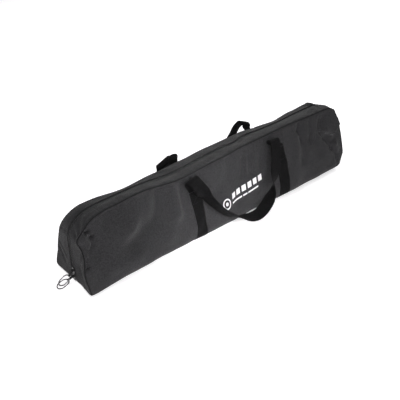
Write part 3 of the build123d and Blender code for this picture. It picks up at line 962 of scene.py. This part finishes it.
# Middle line of each loop between its folds: distances along the case and down from the hinge.
courses = {
    -1: [(-0.091, 0.080), (-0.064, 0.117), (-0.028, 0.151), (0.020, 0.176), (0.064, 0.182),
         (0.102, 0.169), (0.134, 0.143), (0.162, 0.098), (0.186, 0.045)],
    1: [(-0.070, 0.055), (-0.032, 0.104), (0.005, 0.150), (0.047, 0.186), (0.090, 0.196),
        (0.128, 0.180), (0.152, 0.140), (0.167, 0.095), (0.184, 0.052)],
}
# How far the webbing is turned on edge, in degrees, at shares of its course.
twists = {
    -1: [(0.0, 0), (0.04, 8), (0.11, 70), (0.28, 80), (0.50, 122), (0.63, 120), (0.86, 0), (1.0, 0)],
    1: [(0.0, 0), (0.26, 90), (0.66, 90), (0.90, 0), (1.0, 0)],
}


def hang(side, u, v, w):
    """Point at u along, v down and w out from the middle of a handle's hinge, in the handle's plane."""
    x, y, z = handle_joint[side]
    y = y + side * (v * np.sin(tilt) + w * np.cos(tilt))
    z = z - v * np.cos(tilt) + w * np.sin(tilt)
    return np.stack(np.broadcast_arrays(x + u, y, z), -1)


def web_loop():
    """Corners round the webbing's section, as distances across and off its middle: two flat faces
    joined by round edges, and the run round them."""
    flat = np.linspace(-1, 1, 11) * (web_half - web_thick / 2)
    turn = np.radians([50, 0, -50])
    edge = web_half - web_thick / 2 + web_thick / 2 * np.cos(turn)
    across = np.concatenate([flat, edge, flat[::-1], -edge])
    off = np.concatenate([0 * flat + 1, np.sin(turn), 0 * flat - 1, np.sin(-turn)]) * web_thick / 2
    around = np.concatenate([across, across[:1]])
    return across[::-1], off[::-1], around[::-1]


def folded(side, end, across, run, off):
    """Webbing rolled over a line tilted by slant. Off the flat strip, s is the distance past the fold
    line and c the distance along it. Up to 0 it stands flat, then it winds half round a roll, then it
    goes down flat again, twice the roll's radius further out."""
    slant, roll = np.radians(slants[side, end]), rolls[side, end]
    shift_u, shift_v = fold_shift[side, end]
    s = run * np.cos(slant) - across * np.sin(slant)
    c = across * np.cos(slant) + run * np.sin(slant)
    turn = np.clip(s / roll, 0, np.pi)
    rise = np.minimum(s, 0) - np.maximum(s - np.pi * roll, 0) + (roll + off) * np.sin(turn)
    u = strap_x[end] + shift_u + c * np.cos(slant) - rise * np.sin(slant)
    v = shift_v + roll - c * np.sin(slant) - rise * np.cos(slant)
    return u, v, roll - (roll + off) * np.cos(turn), s


def leg_start(side, end):
    """Run at which a fold's roll is past, and the leg's middle and direction there."""
    slant, roll = np.radians(slants[side, end]), rolls[side, end]
    run = (np.pi * roll + web_half * abs(np.sin(slant))) / np.cos(slant) + 0.004
    u, v, _, _ = folded(side, end, 0.0, run, 0.0)
    return run, np.array([u, v]), np.array([np.sin(2 * slant), np.cos(2 * slant)])


def handle_fold(side, name, end):
    """From the stitching up: a free strip that eases off the wall, the roll, and the leg's start."""
    slant, roll = np.radians(slants[side, end]), rolls[side, end]
    stand = handle_joint[side][2] - roll - stitched_z
    across, off, around = web_loop()
    last = leg_start(side, end)[0]
    run = np.concatenate([np.linspace(-stand, -0.004, 18)[:-1], np.linspace(-0.004, last, 44)])[:, None]
    u, v, w, s = folded(side, end, across, run, off)
    free = hang(side, u, v, w)
    z = handle_joint[side][2] - roll + run + 0 * across
    depth = web_lift - web_thick / 2 - off
    sewn = panel_point(side, strap_x[end] + across, np.minimum(z, followed_z), depth)
    sewn[..., 2] += np.maximum(z - followed_z, 0)
    settled = ease(-s, 0, stand * np.cos(slant) - web_half * abs(np.sin(slant)) - 0.001)[..., None]
    grid = sewn * settled + free * (1 - settled)
    chart = np.stack(np.broadcast_arrays(around, run), -1)
    if side > 0:
        grid, chart = grid[:, ::-1], chart[:, ::-1]
    made = grid_mesh(f"{end}_{name}_handle_fold", [grid], [chart], ring=True, capped=True)
    dress(made, webbing.material)
    start = hang(side, 0.0, 0.0, 0.0)
    finish = hang(side, 0.0, 0.0, blend_reach)
    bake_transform(made)
    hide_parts(f"{end}_strap_{name}")


def smooth_course(points, first, last, count):
    """Curve through points in a plane that leaves along first and arrives along last: cubic pieces
    whose slopes at the points follow their neighbours, sampled at even distances."""
    points = np.array(points)
    gap = np.linalg.norm(np.diff(points, axis=0), axis=1)
    at = np.concatenate([[0], np.cumsum(gap)])
    slope = np.gradient(points, at, axis=0)
    slope[0], slope[-1] = first, last
    fine = np.linspace(0, at[-1], 1200)
    k = np.clip(np.searchsorted(at, fine) - 1, 0, len(gap) - 1)
    t = ((fine - at[k]) / gap[k])[:, None]
    g = gap[k][:, None]
    curve = points[k] * (1 + 2 * t) * (1 - t) ** 2 + slope[k] * g * t * (1 - t) ** 2
    curve += points[k + 1] * t * t * (3 - 2 * t) - slope[k + 1] * g * t * t * (1 - t)
    run = np.concatenate([[0], np.cumsum(np.linalg.norm(np.diff(curve, axis=0), axis=1))])
    even = np.linspace(0, run[-1], count)
    return np.stack([np.interp(even, run, curve[:, 0]), np.interp(even, run, curve[:, 1])], -1), even


def handle(side, name):
    """The section carried along the handle's course. It starts flat, its width in the handle's plane,
    turns a quarter so that it hangs edge-on, and turns back again."""
    _, start, leave = leg_start(side, "left")
    _, stop, arrive = leg_start(side, "right")
    course, run = smooth_course([start, *courses[side], stop], leave, -arrive, 190)
    du, dv = np.gradient(course, axis=0).T
    length = np.hypot(du, dv)
    du, dv = du / length, dv / length
    du[0], dv[0] = leave
    du[-1], dv[-1] = -arrive
    share = run / run[-1]
    turn = np.radians(through(share, twists[side]))
    turn += waver * np.sin(share * 17 + side) * np.sin(np.pi * share)
    across, off, around = web_loop()
    beside = across * np.cos(turn)[:, None] - off * np.sin(turn)[:, None]
    out = 2 * np.where(share < 0.5, rolls[side, "left"], rolls[side, "right"])
    out += (loop_out - out) * ease(share, 0.10, 0.40) * ease(1 - share, 0.10, 0.40)
    w = out[:, None] + across * np.sin(turn)[:, None] + off * np.cos(turn)[:, None]
    grid = hang(side, course[:, :1] + beside * dv[:, None], course[:, 1:] - beside * du[:, None], w)
    chart = np.stack(np.broadcast_arrays(around, run[:, None]), -1)
    if side > 0:
        grid, chart = grid[:, ::-1], chart[:, ::-1]
    made = grid_mesh(f"{name}_handle_loop", [grid], [chart], ring=True, capped=True)
    dress(made, webbing.material)
    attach(made, f"{name}_handle")
    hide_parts(f"{name}_handle")


for side, name in sides:
    handle(side, name)
    for end in strap_x:
        handle_fold(side, name, end)


# ---- print --------------------------------------------------------------------------------
# A pale screen print on the front wall: a ring with a dot in it, a row of slanted bars, and a
# row of thin dashes below. Each is a thin film of ink on the cloth.
ink_lift = 0.0009
ring_middle = np.array((-0.016, 0.076))     # on the flat wall
print_ahead = np.array((0.991, 0.132))      # the print's own level line, a little askew
ink = Finish("screen_ink", Specular_IOR_Level=0.3)
ink.drive(
    Base_Color=ink.blend(ink.noise(700, 4.0), grey(0.62, 1.0), grey(0.80, 1.0)),
    Roughness=ink.noise(200) * 0.2 + 0.5,
    Normal=ink.relief(ink.noise(900), 0.0001),
)


def print_film(corners_u, corners_v):
    """Ink on the front wall at distances along and above the print's own level line."""
    x = ring_middle[0] + corners_u * print_ahead[0] - corners_v * print_ahead[1]
    z = ring_middle[1] + corners_u * print_ahead[1] + corners_v * print_ahead[0]
    return panel_point(-1, x, z, ink_lift)


def ink_ring(inner, outer, around=48):
    """A ring of ink between two radii."""
    turn = np.linspace(0, 2 * np.pi, around + 1)[:, None]
    radius = np.linspace(inner, outer, 4)[None, :]
    return print_film(radius * np.cos(turn), radius * np.sin(turn))


def ink_bar(start, low, width, rise, slant=0.25):
    """A bar of ink from start and low on, that leans ahead by slant times its rise."""
    across, up = np.linspace(0, width, 9)[None, :], np.linspace(0, rise, 6)[:, None]
    return print_film(start + across + slant * up, low + up + 0 * across)


bar_start, bar_pitch, bar_count = 0.027, 0.0222, 6
dash_runs = ((0.024, 0.042), (0.070, 0.016), (0.090, 0.042))    # start and width of each
bars = [ink_bar(bar_start + bar_pitch * k, 0.001, 0.0150, 0.0165) for k in range(bar_count)]
dashes = [ink_bar(start, -0.013, width, 0.0045) for start, width in dash_runs]
rings = [ink_ring(0.0125, 0.0165), ink_ring(0.0003, 0.0055)]
printed = grid_mesh("front_print", bars + dashes + rings)
dress(printed, ink.material)
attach(printed, "shell")


# ---- padding ------------------------------------------------------------------------------
# Inside, a foam sheet under a smooth lining stiffens the two walls and the floor. Each pad is
# quilted in channels square to its length and tucked in behind the seams.
pad_inset, pad_full = 0.008, 0.0066     # its edge in from the outline, and its fullness
pad_back, pad_rim = 0.0014, 0.0016      # depths of its flat face, and of its rim
channel_pitch = 0.104
lining = Finish("lining", Specular_IOR_Level=0.35, Sheen_Weight=0.2)
lining_u, lining_v = lining.cut()
fine_weave = (lining_u * (2 * np.pi / 0.0007)).sine() * (lining_v * (2 * np.pi / 0.0007)).sine()
lining.drive(
    Base_Color=lining.blend(lining.noise(30, 4.0) * 0.8 + fine_weave * 0.15, grey(0.045), grey(0.085)),
    Roughness=lining.noise(60) * 0.15 + 0.55,
    Normal=lining.relief(fine_weave + lining.noise(800) * 0.5, 0.00015, 0.6),
)


def quilt(x, up, tall):
    """Fullness of a pad: 0 at its rim, 1 in the middle of a channel, and a third on a channel line."""
    rim = np.minimum(tall / 2 - np.abs(up - tall / 2), half_length - pad_inset - np.abs(x))
    edge = np.sqrt(1 - (1 - np.clip(rim / 0.012, 0, 1)) ** 2)
    line = np.abs((x / channel_pitch + 0.5) % 1 - 0.5) * channel_pitch
    return edge * (0.34 + 0.66 * np.sqrt(1 - (1 - np.clip(line / 0.022, 0, 1)) ** 2))


def pad(name, body_nodes, surface, tall):
    """A closed form: out across the face that touches the wall, and back across the crowned face."""
    x = np.linspace(-1, 1, 260)[:, None] * (half_length - pad_inset)
    share = np.linspace(0, 1, 34)[None, :]
    near = surface(x, share, pad_back + 0 * x * share)
    far = surface(x, share, pad_rim + pad_full * quilt(x, share * tall, tall))
    grid = np.concatenate([near, far[:, ::-1]], 1)
    chart = np.stack(np.broadcast_arrays(x, np.concatenate([share, share[:, ::-1]], 1) * tall), -1)
    made = grid_mesh(name, [grid], [chart], ring=True, capped=True)
    dress(made, lining.material)
    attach(made, "shell")
    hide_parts(*body_nodes)
    return made


def wall_pad(side, name):
    """A pad laid inside a wall, with the wall's round upper corners."""
    def surface(x, share, depth):
        over = np.clip((np.abs(x) - (half_length - corner_radius)) / corner_radius, 0, 1)
        top = height - pad_inset - corner_radius * (1 - np.sqrt(1 - over ** 2))
        low = 0.010
        return panel_point(side, x, low + share * (top - low), -depth)

    made = pad(f"{name}_padding", [f"{name}_foam", f"{name}_lining"], surface, height - 0.02)
    if side < 0:
        made.data.flip_normals()


def base_pad():
    """A pad laid on the case's floor, pushed out at the right end as the case is."""
    def surface(x, share, depth):
        across = (share * 2 - 1) * (base_half - foot_side)
        point = np.stack(np.broadcast_arrays(x * 0.975, across, 0.003 + depth), -1)
        point[..., 0] += through(0 * x, right_bulge) * ease(x, 0.30, 0.49)
        return point

    pad("base_padding", ["base_foam", "base_lining"], surface, 2 * (base_half - foot_side))


for side, name in sides:
    wall_pad(side, name)
base_pad()


# ---- sliders, pulls and rings -------------------------------------------------------------
# Two black-coated cast sliders meet at the foot of the left end. Each has a moulded pull with a
# bent steel ring through it. Pressed metal stops close the chain at both ends.
ring_swell = 0.0003     # the coating on the rings' wire
coated = Finish("slider_coating", Metallic=0.0, Specular_IOR_Level=0.55, Coat_Roughness=0.25)
coated.drive(
    Base_Color=coated.blend(coated.noise(500, 4.0), grey(0.008), grey(0.016)),
    Roughness=coated.noise(350, 4.0) * 0.22 + 0.24,
    Normal=coated.relief(coated.noise(1800), 0.00004),
)
moulded = Finish("pull_plastic", Specular_IOR_Level=0.45)
moulded.drive(
    Base_Color=moulded.blend(moulded.noise(400), grey(0.009), grey(0.018)),
    Roughness=moulded.noise(500) * 0.2 + 0.42,
    Normal=moulded.relief(moulded.noise(2600, 2.0), 0.00006),
)
steel = Finish("ring_steel")
streaks = steel.noise(220, 5.0)
steel.drive(
    Base_Color=steel.blend(streaks, grey(0.09, 1.0), grey(0.24, 1.02)),
    Metallic=1 - steel.noise(90) * 0.15,
    Roughness=streaks * 0.25 + 0.20,
    Normal=steel.relief(steel.noise(1500, 4.0), 0.00003),
)
fittings = {
    "lower_slider": coated, "upper_slider": coated, "left_zipper_stop": coated, "right_zipper_stop": coated,
    "lower_pull": moulded, "upper_pull": moulded, "lower_ring": steel, "upper_ring": steel,
}
for node, finish in fittings.items():
    fitting = frame["nodes"][node]
    fitting.data.materials.clear()
    fitting.data.materials.append(finish.material)
for node in ("lower_ring", "upper_ring"):
    whole = frame["nodes"][node].modifiers.new("whole", "WELD")
    whole.merge_threshold = 1e-5
    wire = frame["nodes"][node].modifiers.new("wire", "DISPLACE")
    wire.strength, wire.mid_level = ring_swell, 0.0


# ---- floor --------------------------------------------------------------------------------
# The case stands on a pale, seamless floor. It is no part of the case, and shines a little of
# itself so that it stays even and near white under the lights.
floor_reach, floor_drop = 9.0, 0.0004


def stage_floor():
    """A level sheet, a hair below the case so that the two never share a face."""
    reach = np.linspace(-floor_reach, floor_reach, 3)
    x, y = np.meshgrid(reach, reach, indexing="ij")
    floor = grid_mesh("floor", [np.stack([x, y, 0 * x - floor_drop], -1)])
    sweep = Finish(
        "pale_sweep", Roughness=0.9, Specular_IOR_Level=0.1,
        Emission_Color=(1, 1, 1, 1), Emission_Strength=0.55,
    )
    tone = sweep.noise(3.0, 2.0)
    floor.data.materials.append(sweep.drive(Base_Color=sweep.blend(tone, grey(0.90, 1.0), grey(0.93, 1.0))))


stage_floor()
